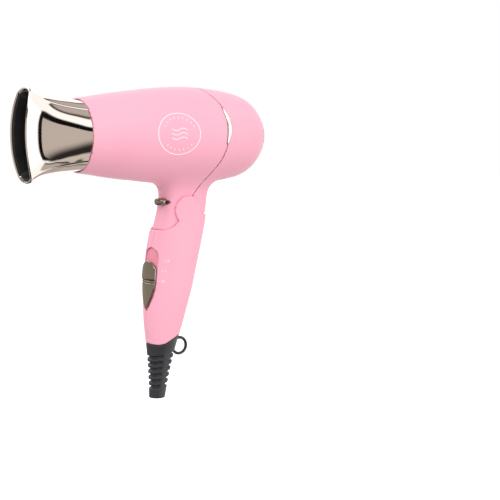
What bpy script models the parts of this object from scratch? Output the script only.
"""Folding travel hair dryer, built as separate solids in metres.

+Z is up, the nozzle points along -X and the dryer's mid-plane is Y = 0. The origin is the middle of the grip.
All sizes below are written in millimetres and turned into metres by MM as each mesh is made.
"""

import math

import bmesh
import bpy
from mathutils import Matrix, Vector

MM = 0.001

# ---------------------------------------------------------------- driving dimensions, mm
GAP = 0.3                      # running clearance between neighbouring pieces
BARREL_Z = 112.0               # height of the barrel's axis over the grip's middle
PIVOT_X, PIVOT_Z = 10.0, 56.5  # fold hinge, on the mid-plane
WALL = 2.2                     # housing wall
HANDLE_WALL = 2.0
NECK_HALF = 13.1               # half thickness of the neck at the hinge
CHEEK_IN = NECK_HALF + GAP     # inner face of the handle's ears
EAR_R = 11.0                   # round ear that covers the hinge
SWEEP_R = 24.2                 # the neck's tongue turns inside this radius
FRONT_EDGE_X = -75.5           # front edge of the barrel housing
MOUTH_X = -120.4               # middle of the nozzle's curved rim
MOUTH_SETBACK = 5.8            # how far the rim's two ends lie behind its middle
MOUTH_HALF_H, MOUTH_HALF_W = 33.0, 12.4
NOZZLE_BASE_R = 25.2
NOZZLE_WALL = 1.3
GRILLE_R = 21.0                # where the intake grille meets the rear housing
RIM_R = 19.6                   # the part of the grille that plugs into the housing
KNOB_TRAVEL = 10.0
BUTTON_Z = 63.0                # height of the cool-shot button
ROUND = 32                     # points round the barrel

# barrel outline, (distance along the axis, radius), front to rear
BARREL = [(-75.5, 26.6), (-66, 27.9), (-55, 29.7), (-42, 31.5), (-28, 33.2), (-14, 34.8), (0, 35.9), (13, 36.4),
          (26, 36.0), (39, 34.9), (50, 33.3), (58, 31.6), (64, 29.4), (69, 26.4), (73, 22.8), (74.8, GRILLE_R)]
DOME = [(74.8, GRILLE_R), (77.2, 18.2), (79.6, 14.2), (81.6, 9.4), (82.8, 4.6), (83.2, 0.0)]

# neck sections: height, middle X, half depth, half thickness, squareness
NECK = [(88, 15.6, 27.0, 24.0, 2.4), (83, 15.4, 24.6, 20.6, 2.6), (79, 15.2, 22.0, 17.6, 2.8),
        (75.5, 15.0, 19.6, 15.2, 3.2), (72, 14.6, 18.2, 13.8, 3.6), (68, 14.1, 17.5, 13.2, 4.0),
        (62, 13.2, 17.1, NECK_HALF, 4.0), (56, 12.4, 17.1, NECK_HALF, 4.0), (50, 11.2, 17.6, NECK_HALF, 4.0),
        (44, 9.6, 17.9, NECK_HALF, 4.0), (38, 8.0, 18.2, NECK_HALF, 4.0)]

# handle sections: height, middle X, half depth, half thickness, squareness
HANDLE = [(70, 14.0, 17.2, 15.1, 4.0), (56, 12.1, 17.3, 15.2, 4.0), (49, 10.4, 18.2, 15.3, 3.8),
          (41, 8.4, 19.0, 15.5, 3.4), (33, 6.4, 19.5, 15.9, 3.0), (25, 4.7, 19.7, 16.2, 2.7),
          (17, 3.1, 19.7, 16.2, 2.5), (8, 1.5, 19.3, 16.0, 2.4), (-2, 0.1, 18.6, 15.5, 2.3),
          (-12, -1.6, 17.4, 14.8, 2.2), (-22, -3.2, 15.9, 13.9, 2.2), (-32, -4.5, 14.0, 12.8, 2.2),
          (-40, -5.5, 12.2, 11.6, 2.2), (-48, -6.4, 10.9, 10.4, 2.1)]

# cord boot sections: height, middle X, radius in X, radius in Y
BOOT = [(-34, -4.7, 13.5, 12.3), (-41, -5.6, 12.0, 11.4), (-50, -6.6, 10.4, 9.6), (-58, -7.4, 9.2, 8.4),
        (-66, -8.2, 8.1, 7.4), (-75, -9.1, 6.9, 6.5), (-84.5, -10.0, 6.0, 6.0)]

# the line where the front and rear housings meet, in X and Z, from the top of the barrel to under the hinge
SPLIT = [(20, 156), (22.5, 148.5), (27, 140), (31, 132.5), (33.2, 124), (33.2, 115), (31.6, 106), (29, 96),
         (25.2, 86.8), (20.4, 77), (14.2, 66.7), (PIVOT_X, 60), (PIVOT_X, 26)]

# the upper edge of the handle, in X and Z, either side of the round ear
EDGE_FRONT = [(-24, 39.5), (-11.2, 41.0), (-3.4, 44.0)]
EDGE_REAR = [(24.0, 53.6), (40, 53.6)]
EAR_START, EAR_END = 223.0, -12.0   # degrees, the round part of that edge


# ---------------------------------------------------------------- scene and materials
def clear_scene():
    for obj in list(bpy.data.objects):
        bpy.data.objects.remove(obj)


def make_material(name, colour, roughness, metallic=0.0):
    material = bpy.data.materials.new(name)
    material.use_nodes = True
    shader = material.node_tree.nodes["Principled BSDF"]
    shader.inputs["Base Color"].default_value = (*colour, 1.0)
    shader.inputs["Roughness"].default_value = roughness
    shader.inputs["Metallic"].default_value = metallic
    material.diffuse_color = (*colour, 1.0)
    return material


clear_scene()
PINK = make_material("soft_pink_plastic", (0.94, 0.47, 0.56), 0.55)
CHROME = make_material("dark_chrome", (0.55, 0.50, 0.47), 0.12, 1.0)
BLACK = make_material("black_plastic", (0.02, 0.02, 0.022), 0.5)
RUBBER = make_material("charcoal_rubber", (0.05, 0.052, 0.06), 0.65)
GUNMETAL = make_material("gunmetal_switch", (0.33, 0.30, 0.25), 0.3, 1.0)
STEEL = make_material("steel", (0.6, 0.6, 0.62), 0.3, 1.0)
MICA = make_material("mica", (0.55, 0.46, 0.33), 0.6)
WIRE = make_material("resistance_wire", (0.45, 0.36, 0.3), 0.35, 1.0)
WHITE = make_material("white_plastic", (0.85, 0.85, 0.83), 0.5)
COPPER = make_material("copper", (0.75, 0.38, 0.2), 0.3, 1.0)


# ---------------------------------------------------------------- geometry helpers
def superellipse(half_x, half_y, squareness, count):
    points = []
    for k in range(count):
        angle = 2 * math.pi * k / count
        c, s = math.cos(angle), math.sin(angle)
        power = 2 / squareness
        points.append((half_x * math.copysign(abs(c) ** power, c), half_y * math.copysign(abs(s) ** power, s)))
    return points


def arc(centre, radius, start, end, steps):
    """Points on an arc in a plane, angles in degrees."""
    angles = [math.radians(start + (end - start) * k / steps) for k in range(steps + 1)]
    return [(centre[0] + radius * math.cos(a), centre[1] + radius * math.sin(a)) for a in angles]


def add_object(name, mesh_builder, material, helper=False):
    """A new object from a bmesh in millimetres. A helper is only a cutter, so it isn't rendered."""
    bmesh.ops.remove_doubles(mesh_builder, verts=mesh_builder.verts, dist=1e-4)
    bmesh.ops.recalc_face_normals(mesh_builder, faces=mesh_builder.faces)
    bmesh.ops.scale(mesh_builder, vec=(MM, MM, MM), verts=mesh_builder.verts)
    mesh = bpy.data.meshes.new(name)
    mesh_builder.to_mesh(mesh)
    mesh_builder.free()
    if material:
        mesh.materials.append(material)
    obj = bpy.data.objects.new(name, mesh)
    bpy.context.scene.collection.objects.link(obj)
    if helper:
        obj.hide_render = True
        obj.display_type = "WIRE"
    else:
        mesh.shade_smooth()
        mesh.set_sharp_from_angle(angle=math.radians(35))
    return obj


def skin(rings, closed_path=False, caps=True):
    """A bmesh skinned over rings of equal length, capped at both ends unless the path is closed."""
    builder = bmesh.new()
    loops = [[builder.verts.new(p) for p in ring] for ring in rings]
    count = len(loops[0])
    pairs = list(zip(loops, loops[1:]))
    if closed_path:
        pairs.append((loops[-1], loops[0]))
    for lower, upper in pairs:
        for k in range(count):
            following = (k + 1) % count
            builder.faces.new((lower[k], lower[following], upper[following], upper[k]))
    if caps and not closed_path:
        builder.faces.new(loops[0])
        builder.faces.new(loops[-1])
    return builder


def revolve_x(profile, z=BARREL_Z, count=ROUND, closed=True):
    """Turns (x, r) points about the line Y = 0, Z = z. A closed profile is a ring's section, an open one a solid."""
    if closed:
        path = []
        for k in range(count):
            angle = 2 * math.pi * k / count
            path.append([(x, r * math.cos(angle), z + r * math.sin(angle)) for x, r in profile])
        return skin(path, closed_path=True)
    builder = bmesh.new()
    rings = []
    for x, r in profile:
        if r == 0:
            rings.append([builder.verts.new((x, 0, z))])
        else:
            angles = [2 * math.pi * k / count for k in range(count)]
            rings.append([builder.verts.new((x, r * math.cos(a), z + r * math.sin(a))) for a in angles])
    for lower, upper in zip(rings, rings[1:]):
        for k in range(count):
            corners = [lower[k % len(lower)], lower[(k + 1) % len(lower)],
                       upper[(k + 1) % len(upper)], upper[k % len(upper)]]
            unique = list(dict.fromkeys(corners))
            builder.faces.new(unique)
    for end in (rings[0], rings[-1]):
        if len(end) > 2:
            builder.faces.new(end)
    return builder


def prism_y(outline, y_low, y_high):
    """An (x, z) outline pushed along Y."""
    return skin([[(x, y_low, z) for x, z in outline], [(x, y_high, z) for x, z in outline]])


def stack(sections, grow=0.0, grow_y=None, count=ROUND):
    """A solid through horizontal sections, each (z, middle x, half x, half y, squareness), grown by a wall."""
    grow_y = grow if grow_y is None else grow_y
    rings = []
    for z, middle, half_x, half_y, squareness in sections:
        points = superellipse(half_x + grow, half_y + grow_y, squareness, count)
        rings.append([(middle + x, y, z) for x, y in points])
    return skin(rings)


def cylinder(start, end, radius, count=24, end_radius=None):
    """A round bar or cone between two points, in millimetres."""
    start, end = Vector(start), Vector(end)
    axis = (end - start).normalized()
    turn = axis.to_track_quat("Z", "Y").to_matrix()
    rings = []
    for centre, r in ((start, radius), (end, radius if end_radius is None else end_radius)):
        ring = []
        for k in range(count):
            angle = 2 * math.pi * k / count
            ring.append(tuple(centre + turn @ Vector((r * math.cos(angle), r * math.sin(angle), 0))))
        rings.append(ring)
    return skin(rings)


def box(low, high):
    (x0, y0, z0), (x1, y1, z1) = low, high
    return skin([[(x0, y0, z), (x1, y0, z), (x1, y1, z), (x0, y1, z)] for z in (z0, z1)])


def boolean(obj, other, operation):
    modifier = obj.modifiers.new(f"{operation.lower()}_{other.name}", "BOOLEAN")
    modifier.operation = operation
    modifier.object = other
    modifier.solver = "EXACT"
    return obj


def cut(obj, *others):
    for other in others:
        boolean(obj, other, "DIFFERENCE")
    return obj


def join(obj, *others):
    for other in others:
        boolean(obj, other, "UNION")
    return obj


def keep(obj, other):
    return boolean(obj, other, "INTERSECT")


def helper(name, mesh_builder):
    return add_object("cutter_" + name, mesh_builder, None, helper=True)


def solid(name, mesh_builder, material):
    return add_object(name, mesh_builder, material)


def barrel_radius(x):
    points = BARREL + DOME[1:]
    for (x0, r0), (x1, r1) in zip(points, points[1:]):
        if x <= x1:
            return r0 + (r1 - r0) * (x - x0) / (x1 - x0)
    return 0.0


# ---------------------------------------------------------------- head: front and rear housings
SIDE = 60.0   # cutters reach this far past the mid-plane


def inner_barrel():
    """The housing's cavity: the outline moved in by one wall, with a round mouth for the nozzle at the front."""
    mouth = [(FRONT_EDGE_X - 4, NOZZLE_BASE_R + 0.4), (-67.0, NOZZLE_BASE_R + 0.4), (-66.9, 25.7)]
    rest = [(x, r - WALL) for x, r in BARREL[2:-1]]
    return revolve_x(mouth + rest + [(73.5, RIM_R + GAP), (78.0, RIM_R + GAP)], closed=False)


def turned_about_pin(grow, count=40):
    """A solid turned about the hinge pin that holds every part of the neck that goes into the handle."""
    profile = [(-NECK_HALF, 18.5), (-10.5, 21.5), (-8.0, 23.4), (8.0, 23.4), (10.5, 21.5), (NECK_HALF, 18.5)]
    rings = []
    for y, r in profile:
        reach = r + grow
        side = y + math.copysign(grow, y)
        ring = arc((PIVOT_X, PIVOT_Z), reach, 0, 360 - 360 / count, count - 1)
        rings.append([(x, side, z) for x, z in ring])
    return skin(rings)


def tongue_region():
    """The XZ region that the neck may fill."""
    lower = arc((PIVOT_X, PIVOT_Z), 26.0, 205, 232, 4)
    boss = arc((PIVOT_X, PIVOT_Z), 12.5, 262, 335, 5)
    return [(-40, 53.0), (-14, 46.0)] + lower + boss + [(21.6, 54.0), (60, 54.0), (60, 100), (-40, 100)]


def region_front(offset):
    points = [(x - offset, z) for x, z in SPLIT]
    return [(-140, 156)] + points + [(-140, 26)]


def region_rear(offset):
    points = [(x + offset, z) for x, z in SPLIT]
    return [(140, 156)] + points + [(140, 26)]


def crest_outline(grow):
    """The bright crescent in the seam, as an (x, z) outline moved out by this much."""
    front = [(30.0, 132.0), (31.0, 126.0), (31.6, 119.5), (31.5, 113.0), (30.6, 106.4)]
    rear = [(31.4, 105.8), (34.3, 112.5), (35.1, 120.0), (34.2, 126.5), (31.4, 132.8)]
    front = [(x - grow, z) for x, z in front]
    rear = [(x + grow, z) for x, z in rear]
    for line, top, foot in ((front, 0, -1), (rear, -1, 0)):
        line[top] = (line[top][0], line[top][1] + grow)
        line[foot] = (line[foot][0], line[foot][1] - grow)
    return front + rear


def teardrop_outline(grow):
    """The cool-shot button's bezel, as an (x, z) outline: it wraps round the neck's front to a pointed tail."""
    upper = [(-14, 4.3), (-5.5, 4.3), (-2.6, 3.2), (0.6, 0.6)]
    lower = [(x, -z) for x, z in reversed(upper)]
    points = []
    for x, z in upper + lower:
        points.append((x + (grow if x > -14 else 0), BUTTON_Z + z + math.copysign(grow, z)))
    return points


def build_housings():
    neck_outer = helper("neck_outer", stack(NECK))
    neck_inner = helper("neck_inner", stack([(95,) + NECK[0][1:]] + NECK + [(24,) + NECK[-1][1:]], -WALL))
    cavity = helper("barrel_cavity", inner_barrel())
    tongue = helper("tongue_region", prism_y(tongue_region(), -SIDE, SIDE))
    pin_hole = helper("pin_hole", cylinder((PIVOT_X, -40, PIVOT_Z), (PIVOT_X, 40, PIVOT_Z), 3.0 + GAP))
    crest = helper("crest", prism_y(crest_outline(GAP), -SIDE, SIDE))
    teardrop = helper("teardrop", prism_y(teardrop_outline(GAP), -SIDE, SIDE))
    keep(neck_outer, tongue)
    above = helper("neck_above", box((-80, -SIDE, PIVOT_Z - 8.0), (80, SIDE, 160)))
    join(above, helper("neck_turn", turned_about_pin(0.0)))
    keep(neck_outer, above)
    outline = BARREL
    for name, region in (("front_housing", region_front(GAP / 2)), ("rear_housing", region_rear(GAP / 2))):
        part = solid(name, revolve_x(outline, closed=False), PINK)
        join(part, neck_outer)
        cut(part, cavity, neck_inner)
        keep(part, helper(name + "_region", prism_y(region, -SIDE, SIDE)))
        cut(part, pin_hole, crest)
        if name == "front_housing":
            cut(part, teardrop)
    return neck_inner


def build_trims():
    """The two bright crescents set into the seam, one each side."""
    for side, name in ((-1, "right_trim"), (1, "left_trim")):
        low, high = sorted((side * 24.0, side * 45.0))
        trim = solid(name, prism_y(crest_outline(0), low, high), CHROME)
        skin_outer = helper(name + "_outer", revolve_x([(x, r - 0.5) for x, r in BARREL], closed=False))
        keep(trim, skin_outer)
        cut(trim, helper(name + "_inner", revolve_x([(x, r - 1.9) for x, r in BARREL[4:13]], closed=False)))


def dome_x(radius):
    """Where the rear dome's surface is at this radius."""
    for (x0, r0), (x1, r1) in zip(DOME, DOME[1:]):
        if radius >= r1:
            return x0 + (x1 - x0) * (r0 - radius) / (r0 - r1)
    return DOME[-1][0]


def dome_band(outer, inner, depth):
    """The section of a ring that follows the dome."""
    front, back = dome_x(outer), dome_x(inner)
    return [(front, outer), (back, inner), (back - depth, inner), (front - depth, outer)]


def build_grille():
    """Domed intake grille: a rim, two rings and eight spokes in one piece, with a dust mesh behind it."""
    step_x = DOME[0][0] + GAP
    rim = [(step_x, GRILLE_R - GAP), (dome_x(17.6), 17.6), (71.9, 17.6), (71.9, RIM_R), (step_x, RIM_R)]
    grille = solid("intake_grille", revolve_x(rim, count=28), BLACK)
    for k, (outer, inner) in enumerate(((14.6, 12.2), (9.2, 6.8))):
        join(grille, helper(f"grille_ring_{k}", revolve_x(dome_band(outer, inner, 2.4), count=24)))
    hub = [(79.2, 0), (79.2, 4.0), (dome_x(4.0), 4.0), (83.2, 0)]
    join(grille, helper("grille_hub", revolve_x(hub, closed=False, count=16)))
    for k in range(6):
        stations = []
        for radius in (3.0, 8.0, 13.4, 18.6):
            low, high = dome_x(radius) - 2.2, dome_x(radius) - 0.3
            corners = [(low, -0.8), (high, -0.8), (high, 0.8), (low, 0.8)]
            stations.append([(x, y, radius) for x, y in corners])
        spoke = helper(f"grille_spoke_{k}", skin(stations))
        spin = Matrix.Rotation(math.radians(60 * k + 10), 4, "X")
        spoke.matrix_world = Matrix.Translation((0, 0, BARREL_Z * MM)) @ spin
        join(grille, spoke)
    mesh = [(70.6, 0), (70.6, 18.2), (71.4, 18.2), (71.4, 0)]
    solid("dust_mesh", revolve_x(mesh, closed=False, count=28), STEEL)
    solid("mesh_retainer", revolve_x([(71.8, 15.6), (71.8, 17.2), (73.2, 17.2), (73.2, 15.6)], count=28), BLACK)


# ---------------------------------------------------------------- head: air path
def build_air_path():
    ring = [(-80.0, 20.4), (-80.0, 21.6), (-66.4, 21.6), (-66.4, 25.2), (-64.0, 25.2), (-64.0, 20.4)]
    solid("outlet_tube", revolve_x(ring, count=32), BLACK)
    grid = solid("outlet_grille", revolve_x([(-79.0, 18.4), (-79.0, 20.0), (-77.0, 20.0), (-77.0, 18.4)], count=24), BLACK)
    join(grid, helper("outlet_ring", revolve_x([(-78.8, 8.6), (-78.8, 10.2), (-77.2, 10.2), (-77.2, 8.6)], count=16)))
    for k in range(3):
        bar = helper(f"outlet_bar_{k}", box((-78.8, -0.8, -19.0), (-77.2, 0.8, 19.0)))
        bar.matrix_world = Matrix.Translation((0, 0, BARREL_Z * MM)) @ Matrix.Rotation(math.radians(60 * k), 4, "X")
        join(grid, bar)
    solid("heat_shield", revolve_x([(-63.0, 22.4), (-63.0, 23.2), (-10.0, 23.2), (-10.0, 22.4)], count=28), MICA)
    frame = solid("heater_frame", box((-62, -0.5, BARREL_Z - 21.6), (-12, 0.5, BARREL_Z + 21.6)), MICA)
    join(frame, helper("heater_cross", box((-62, -21.6, BARREL_Z - 0.5), (-12, 21.6, BARREL_Z + 0.5))))
    groove = revolve_x([(-56.5, 14.0), (-56.5, 17.4), (-15.5, 17.4), (-15.5, 14.0)], count=24)
    cut(frame, helper("coil_groove", groove))
    build_coil()
    solid("thermostat", box((-33, -10.2, BARREL_Z + 1.6), (-23, -3.2, BARREL_Z + 5.4)), STEEL)
    solid("thermal_fuse", cylinder((-46, 5.0, BARREL_Z + 3.6), (-36, 5.0, BARREL_Z + 3.6), 1.7, 12), WHITE)


def build_coil():
    """Resistance wire wound round the mica cross."""
    turns, steps, radius, wire = 6, 12, 15.7, 0.8
    rings = []
    for k in range(turns * steps + 1):
        angle = 2 * math.pi * k / steps
        x = -54.0 + 36.0 * k / (turns * steps)
        centre = Vector((x, radius * math.cos(angle), BARREL_Z + radius * math.sin(angle)))
        radial = Vector((0, math.cos(angle), math.sin(angle)))
        along = Vector((1, 0, 0))
        corners = [(1, 0), (0, 1), (-1, 0), (0, -1)]
        rings.append([tuple(centre + radial * wire * c + along * wire * s) for c, s in corners])
    solid("heater_coil", skin(rings), WIRE)


MOTOR_R = 11.5


def build_motor_and_fan():
    can = [(6.0, 0), (6.0, MOTOR_R), (31.0, MOTOR_R), (31.0, 1.6), (24.0, 1.6), (24.0, 0)]
    solid("motor_can", revolve_x(can, closed=False, count=28), STEEL)
    solid("motor_end_cap", revolve_x([(1.8, 0), (1.8, 9.8), (5.7, 9.8), (5.7, 0)], closed=False, count=24), WHITE)
    solid("noise_capacitor", cylinder((-2.4, 0, BARREL_Z - 3), (1.4, 0, BARREL_Z - 3), 3.0, 16), COPPER)
    mount = solid("motor_mount", revolve_x([(8.0, MOTOR_R + GAP), (8.0, 13.6), (27.0, 13.6), (27.0, MOTOR_R + GAP)],
                                           count=32), BLACK)
    duct = [(6.0, 29.2), (6.0, 31.0), (50.0, 30.6), (50.0, 29.2)]
    join(mount, helper("duct_ring", revolve_x(duct, count=32)))
    for k in range(7):
        vane = helper(f"stator_vane_{k}", skin([
            [(10, -0.9, 13.0), (10, 0.9, 13.0), (26, 4.4, 13.0), (26, 2.6, 13.0)],
            [(10, -0.9, 29.9), (10, 0.9, 29.9), (26, 4.4, 29.9), (26, 2.6, 29.9)]]))
        vane.matrix_world = (Matrix.Translation((0, 0, BARREL_Z * MM))
                             @ Matrix.Rotation(2 * math.pi * k / 7, 4, "X"))
        join(mount, vane)
    solid("motor_shaft", cylinder((24.6, 0, BARREL_Z), (47.5, 0, BARREL_Z), 1.2, 12), STEEL)
    hub = [(33.0, 1.5), (33.0, 10.5), (40.0, 9.6), (45.0, 6.0), (47.0, 1.5)]
    fan = solid("fan", revolve_x(hub, count=24), BLACK)
    for k in range(7):
        blade = helper(f"fan_blade_{k}", skin([
            [(34.0, -3.0, 8.0), (35.0, -3.6, 8.0), (43.6, 2.6, 8.0), (42.6, 3.2, 8.0)],
            [(34.0, -7.5, 27.6), (34.8, -8.3, 27.6), (43.6, 6.0, 27.6), (42.8, 6.8, 27.6)]]))
        blade.matrix_world = (Matrix.Translation((0, 0, BARREL_Z * MM))
                              @ Matrix.Rotation(2 * math.pi * k / 7, 4, "X"))
        join(fan, blade)


# ---------------------------------------------------------------- nozzle
NOZZLE = [(-70.0, 25.2, 25.2, 2.0), (-78.0, 25.4, 24.8, 2.05), (-85.0, 25.7, 22.0, 2.2), (-93.0, 26.2, 19.2, 2.4),
          (-101.0, 27.1, 16.4, 2.7), (-109.0, 28.8, 13.9, 3.1), (-114.5, 30.5, 12.9, 3.3),
          (MOUTH_X, MOUTH_HALF_H, MOUTH_HALF_W, 3.6)]


def nozzle_rings(inset, stations):
    """Rings of the nozzle from its round base to its slot mouth; the rim bulges forward at its middle."""
    rings = []
    for x, half_h, half_w, squareness in stations:
        progress = max(0.0, (-78.0 - x) / (-78.0 - MOUTH_X))
        setback = MOUTH_SETBACK * progress ** 2
        ring = []
        for y, z in superellipse(half_w - inset, half_h - inset, squareness, ROUND):
            ring.append((x + setback * (z / half_h) ** 2, y, BARREL_Z + z))
        rings.append(ring)
    return rings


def between(first, second, share):
    return tuple(a + (b - a) * share for a, b in zip(first, second))


def build_nozzle():
    shell = nozzle_rings(0.0, NOZZLE) + nozzle_rings(NOZZLE_WALL, NOZZLE)[::-1]
    solid("nozzle_shell", skin(shell, closed_path=True), CHROME)
    inner = NOZZLE[2:-1] + [between(NOZZLE[-2], NOZZLE[-1], 0.84)]
    gap = NOZZLE_WALL + GAP + 0.1
    liner = nozzle_rings(gap, inner) + nozzle_rings(gap + 1.0, inner)[::-1]
    solid("nozzle_liner", skin(liner, closed_path=True), BLACK)
    collar = [(-77.0, 22.0), (-77.0, 23.2), (-69.0, 23.2), (-69.0, 22.0)]
    solid("nozzle_collar", revolve_x(collar, count=32), BLACK)


# ---------------------------------------------------------------- cool-shot button
def build_button(neck_inner):
    bezel = solid("button_bezel", prism_y(teardrop_outline(0), -20, 20), CHROME)
    keep(bezel, helper("neck_skin", stack(NECK)))
    cut(bezel, neck_inner)
    opening = skin([[(x, y, BUTTON_Z + z) for y, z in superellipse(5.6, 3.1, 3.0, 20)] for x in (-20, 4)])
    cut(bezel, helper("button_opening", opening))
    rings = []
    for x, share in ((-10.4, 0.35), (-10.0, 0.7), (-9.0, 0.92), (-7.4, 1.0), (-0.2, 1.0)):
        rings.append([(x, y, BUTTON_Z + z) for y, z in superellipse(5.2 * share, 2.75 * share, 3.0, 20)])
    button = solid("cool_shot_button", skin(rings), GUNMETAL)
    flange = skin([[(x, y, BUTTON_Z + z) for y, z in superellipse(6.4, 3.7, 3.0, 20)] for x in (-0.6, 0.5)])
    join(button, helper("button_flange", flange))
    join(button, helper("button_plunger", cylinder((0.2, 0, BUTTON_Z), (2.6, 0, BUTTON_Z), 1.2, 12)))
    solid("cool_shot_switch", box((5.0, -4.0, BUTTON_Z - 3.0), (9.6, 4.0, BUTTON_Z + 4.0)), BLACK)


# ---------------------------------------------------------------- handle
# screws that hold the two halves of the grip: name, x, z, and how far out the head sits
SCREWS = [("upper_handle_screw", 14.0, 24.0, 9.6), ("lower_handle_screw", 5.6, -20.0, 7.6)]
KNOB_TILT = math.atan2(2.9, 36.7)     # the switch runs along the grip's front, which leans this much
KNOB_LOW, KNOB_HIGH = -17.6, 17.6
TRACK_HIGH = 28.8
KNOB_HALF = 8.8


def drop_outline(low, high, half_width, grow=0.0):
    """A (y, z) teardrop: a round top and a pointed foot."""
    half = half_width + grow
    top = arc((0, high + grow - half * 0.75), 1.0, 0, 180, 8)
    points = [(x * half, high + grow - half * 0.75 + (z - (high + grow - half * 0.75)) * half * 0.75) for x, z in top]
    left = [(-half, (low + high) / 2 + 2), (-half * 0.72, low + 9), (-1.2, low - grow)]
    right = [(1.2, low - grow), (half * 0.72, low + 9), (half, (low + high) / 2 + 2)]
    return points + left + right


def handle_region():
    """The XZ region of the handle: everything under its upper edge, with the round ears."""
    ear = arc((PIVOT_X, PIVOT_Z), EAR_R, EAR_START, EAR_END, 18)
    return [(-60, 39.5)] + EDGE_FRONT + ear + EDGE_REAR + [(60, 53.6), (60, -70), (-60, -70)]


def foot_region():
    """The slanted line where the handle meets the cord boot."""
    return [(-60, -38), (-21, -40.2), (-16.5, -42.9), (-13, -43.2), (-9, -42.4), (-4, -39.8), (2, -37.2), (8, -35.3),
            (20, -33), (60, -25), (60, 90), (-60, 90)]


def build_handle():
    cavity = helper("handle_cavity", stack([(80,) + HANDLE[0][1:]] + HANDLE + [(-60,) + HANDLE[-1][1:]],
                                           -HANDLE_WALL, -(15.2 - CHEEK_IN)))
    for screw, x, z, seat in SCREWS:
        cut(cavity, helper(screw + "_boss", cylinder((x, -40, z), (x, 40, z), 4.0, 16)))
    sector = [(PIVOT_X - 2, 90), (-30, 90), (-30, 20), (24.5, 20), (24.5, 50.0), (PIVOT_X + 4, 58.0)]
    sweep = helper("tongue_sweep", turned_about_pin(GAP))
    keep(sweep, helper("sweep_sector", prism_y(sector, -SIDE, SIDE)))
    boss = helper("boss_sweep", prism_y(arc((PIVOT_X, PIVOT_Z), 13.2, 0, 350, 35), -CHEEK_IN, CHEEK_IN))
    region = helper("handle_region", prism_y(handle_region(), -SIDE, SIDE))
    foot = helper("handle_foot", prism_y(foot_region(), -SIDE, SIDE))
    slot = [drop_outline(KNOB_LOW, TRACK_HIGH, KNOB_HALF, 0.5)]
    knob_opening = helper("knob_opening", skin([[(x, y, z) for y, z in slot[0]] for x in (-40, -8)]))
    pin_hole = helper("ear_hole", cylinder((PIVOT_X, -14.3, PIVOT_Z), (PIVOT_X, 14.3, PIVOT_Z), 3.0 + GAP))
    for name, side in (("left_handle_shell", 1), ("right_handle_shell", -1)):
        low, high = sorted((side * GAP / 4, side * SIDE))
        shell = solid(name, stack(HANDLE), PINK)
        cut(shell, cavity, sweep, boss)
        keep(shell, region)
        keep(shell, foot)
        keep(shell, helper(name + "_half", box((-80, low, -80), (80, high, 100))))
        for screw, x, z, seat in SCREWS:
            cut(shell, helper(f"{screw}_hole_{name}", cylinder((x, -8.0, z), (x, seat, z), 1.4 + GAP, 12)))
            if side > 0:
                cut(shell, helper(f"{screw}_seat", cylinder((x, seat - GAP, z), (x, 40, z), 2.6 + GAP, 16)))
        cut(shell, knob_opening, pin_hole)
    solid("hinge_pin", cylinder((PIVOT_X, -14.0, PIVOT_Z), (PIVOT_X, 14.0, PIVOT_Z), 3.0, 20), STEEL)


def build_boot():
    """Cord boot with two sets of ribs and the hanging ring."""
    rings = []
    for z, middle, rx, ry in BOOT:
        rings.append([(middle + x, y, z) for x, y in superellipse(rx, ry, 2.1, 32)])
    boot = solid("cord_boot", skin(rings), RUBBER)
    above = [(x, z - GAP) for x, z in foot_region()[:-2]]
    cut(boot, helper("boot_top", prism_y(above + [(60, 0), (-60, 0)], -SIDE, SIDE)))
    plug = helper("boot_spigot", stack([(-46, -5.9, 8.0, 7.0, 2.1), (-36, -5.0, 8.0, 7.0, 2.1)], count=24))
    join(boot, plug)
    torus = []
    for k in range(20):
        angle = 2 * math.pi * k / 20
        centre = Vector((RING_X + RING_R * math.cos(angle), 0, RING_Z + RING_R * math.sin(angle)))
        out = Vector((math.cos(angle), 0, math.sin(angle)))
        section = [(math.cos(math.pi * j / 4), math.sin(math.pi * j / 4)) for j in range(8)]
        torus.append([tuple(centre + out * 1.1 * c + Vector((0, 1.3 * s, 0))) for c, s in section])
    join(boot, helper("hang_ring", skin(torus, closed_path=True)))
    cut(boot, helper("cord_hole", cylinder((-10.4, 0, -90), (-5.6, 0, -30), 3.6, 20)))


RING_X, RING_Z, RING_R = 10.6, -47.2, 6.1


def build_switch():
    """Slide switch in the grip's front: a curved inner door, the thumb slider and the switch that it drives."""
    lean = Matrix.Rotation(KNOB_TILT, 4, "Y")
    track = solid("switch_track", stack(HANDLE, -2.3, -2.1), PINK)
    cut(track, helper("track_back", stack(HANDLE, -3.5, -3.3)))
    plate = drop_outline(KNOB_LOW - 3, TRACK_HIGH + 3, KNOB_HALF + 2.2)
    keep(track, helper("track_outline", skin([[(x, y, z) for y, z in plate] for x in (-40, -6)])))
    cut(track, helper("stem_slot", box((-30, -1.6, -5.6), (-6, 1.6, 12.4))))
    rings = []
    for x, share in ((-16.5, 1.0), (-17.9, 1.0), (-18.6, 0.88)):
        rings.append([(x, y * share, z * (0.5 + share / 2)) for y, z in drop_outline(KNOB_LOW, KNOB_HIGH, KNOB_HALF)])
    knob = solid("switch_knob", skin(rings), GUNMETAL)
    pad = [[(x, y, 9.6 + z) for y, z in superellipse(6.6 * s, 6.2 * s, 3.0, 20)] for x, s in ((-18, 1), (-19.8, 0.85))]
    pieces = [helper("thumb_pad", skin(pad)),
              helper("knob_ridge", box((-20.4, -6.0, 2.6), (-17.6, 6.0, 4.4))),
              helper("knob_stem", box((-17.2, -1.2, -4.0), (-11.6, 1.2, 0.0)))]
    join(knob, *pieces)
    body = solid("slide_switch", box((-11.0, -5.0, -12.0), (-4.2, 5.0, 18.0)), BLACK)
    for obj in [knob, body] + pieces:
        obj.matrix_world = lean


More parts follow.
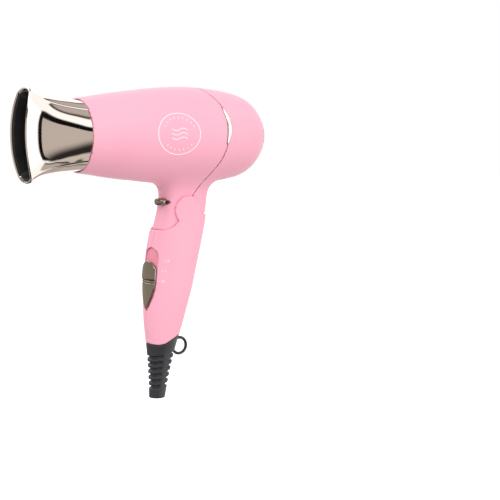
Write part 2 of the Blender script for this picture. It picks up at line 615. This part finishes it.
def build_handle_insides():
    solid("cord_clamp", box((-10.0, -6.0, -33.0), (1.0, 6.0, -28.6)), WHITE)
    for name, y, colour in (("live_lead", -2.2, BLACK), ("neutral_lead", 2.2, COPPER)):
        solid(name, cylinder((-1.6, y, -28.2), (4.2, y, 28.0), 1.0, 8), colour)
    for name, x, z, seat in SCREWS:
        shank = solid(name, cylinder((x, -7.0, z), (x, seat + 0.3, z), 1.4, 12), STEEL)
        join(shank, helper(name + "_head", cylinder((x, seat, z), (x, seat + 1.6, z), 2.6, 16)))
    for side, name in ((-1, "right_friction_washer"), (1, "left_friction_washer")):
        ring = []
        for k in range(20):
            angle = 2 * math.pi * k / 20
            ring.append([(PIVOT_X + r * math.cos(angle), side * y, PIVOT_Z + r * math.sin(angle))
                         for r, y in ((3.6, 9.2), (7.0, 9.2), (7.0, 10.4), (3.6, 10.4))])
        solid(name, skin(ring, closed_path=True), STEEL)


MOVING = [
    # joint axis, a point on it (mm), the axis it hangs from, and the pieces that move with it
    ("fold_axis", (PIVOT_X, 0, PIVOT_Z), None,
     ["front_housing", "rear_housing", "left_trim", "right_trim", "intake_grille", "dust_mesh", "mesh_retainer",
      "outlet_tube", "outlet_grille", "heat_shield", "heater_frame", "heater_coil", "thermostat", "thermal_fuse",
      "motor_mount", "motor_can", "motor_end_cap", "noise_capacitor", "button_bezel", "cool_shot_switch",
      "left_friction_washer", "right_friction_washer"]),
    ("fan_axis", (36, 0, BARREL_Z), "fold_axis", ["fan", "motor_shaft"]),
    ("nozzle_pull_axis", (-80, 0, BARREL_Z), "fold_axis", ["nozzle_collar"]),
    ("nozzle_turn_axis", (-80, 0, BARREL_Z), "nozzle_pull_axis", ["nozzle_shell", "nozzle_liner"]),
    ("button_axis", (-22, 0, BUTTON_Z), "fold_axis", ["cool_shot_button"]),
    ("slider_axis", (-17.5, 0, 0), None, ["switch_knob"]),
]


def hang_on_axes():
    """Each moving piece hangs from an empty on its joint's axis, so turning or sliding the empty moves it."""
    axes = {}
    for name, point, parent, pieces in MOVING:
        axis = bpy.data.objects.new(name, None)
        bpy.context.scene.collection.objects.link(axis)
        axis.empty_display_size = 0.01
        place = Matrix.Translation(Vector(point) * MM)
        if parent:
            axis.parent = axes[parent][0]
            axis.matrix_parent_inverse = axes[parent][1].inverted()
        axis.location = place.translation
        axes[name] = (axis, place)
        for piece in pieces:
            bpy.data.objects[piece].parent = axis
            bpy.data.objects[piece].matrix_parent_inverse = place.inverted()


def main():
    neck_inner = build_housings()
    build_trims()
    build_grille()
    build_air_path()
    build_motor_and_fan()
    build_nozzle()
    build_button(neck_inner)
    build_handle()
    build_boot()
    build_switch()
    build_handle_insides()
    hang_on_axes()


main()
